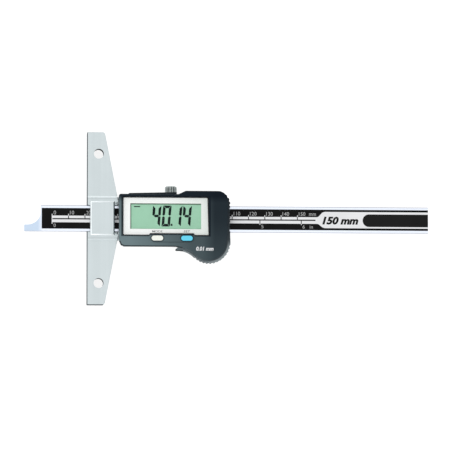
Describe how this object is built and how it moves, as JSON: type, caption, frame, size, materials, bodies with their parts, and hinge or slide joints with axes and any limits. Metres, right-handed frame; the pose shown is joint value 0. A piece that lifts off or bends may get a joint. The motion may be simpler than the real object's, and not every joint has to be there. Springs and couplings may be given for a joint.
{
  "type": "digital depth gauge",
  "caption": "Digital depth gauge: a flat steel beam slides through a wide measuring base, with a moulded display housing, press keys and a knurled lock screw.",
  "frame": {"origin": "centre of the measuring face, on the middle plane of the beam", "axes": "+X from the measuring tip along the beam, +Y along the base towards the lock screw, +Z out of the display"},
  "size_m": [0.2474, 0.1054, 0.0144],
  "materials": {
    "beam_steel": "ground steel",
    "base_steel": "satin hard chrome on steel",
    "channel_steel": "ground steel",
    "screw_steel": "plain steel",
    "knob_steel": "turned steel",
    "bronze": "plain bronze",
    "cell_steel": "nickel-plated steel",
    "switch_metal": "plated sheet",
    "scale_black": "printed film",
    "circuit_laminate": "laminate with solder mask",
    "front_plastic": "fine matt moulding",
    "rear_plastic": "fine matt moulding",
    "pale_plastic": "matt white",
    "display_green": "liquid crystal glass with reflector",
    "window_clear": "clear polycarbonate",
    "seal_rubber": "soft black rubber",
    "chip_black": "moulded epoxy",
    "key_ivory": "smooth silicone-like moulding",
    "key_blue": "smooth silicone-like moulding"
  },
  "bodies": {
    "slider": {"base": "base_steel", "base_screws": "screw_steel", "slider_frame": "channel_steel", "gib_strip": "bronze", "gib_screws": "screw_steel", "rear_shell": "rear_plastic", "front_shell": "front_plastic", "shell_gasket": "seal_rubber", "shell_screws": "screw_steel", "window": "window_clear", "window_gasket": "seal_rubber", "display_bezel": "pale_plastic", "lcd_panel": "display_green", "lcd_holder": "pale_plastic", "zebra_strips": "seal_rubber", "circuit_board": "circuit_laminate", "chip": "chip_black", "key_switches": "switch_metal", "battery": "cell_steel", "battery_contacts": "bronze", "battery_seal": "seal_rubber", "battery_cover": "rear_plastic", "battery_cover_screws": "screw_steel"},
    "beam": {"beam": "beam_steel", "scale_strip": "circuit_laminate", "scale_film": "scale_black", "end_stop": "channel_steel", "end_stop_screws": "screw_steel"},
    "lock_screw": {"lock_screw": "knob_steel"},
    "unit_button": {"unit_button": "key_ivory"},
    "zero_button": {"zero_button": "key_blue"}
  },
  "joints": [
    {"name": "depth_slide", "type": "slide", "parent": "slider", "child": "beam", "axis": [-1, 0, 0], "range_m": [-0.0382, 0.1117]},
    {"name": "lock_screw_turn", "type": "hinge", "parent": "slider", "child": "lock_screw", "pos_m": [0.0512, 0, 0], "axis": [0, 1, 0], "range_deg": [-90, 360]},
    {"name": "unit_press", "type": "slide", "parent": "slider", "child": "unit_button", "axis": [0, 0, -1], "range_m": [0, 0.0005], "stiffness_N_per_m": 800},
    {"name": "zero_press", "type": "slide", "parent": "slider", "child": "zero_button", "axis": [0, 0, -1], "range_m": [0, 0.0005], "stiffness_N_per_m": 800}
  ]
}
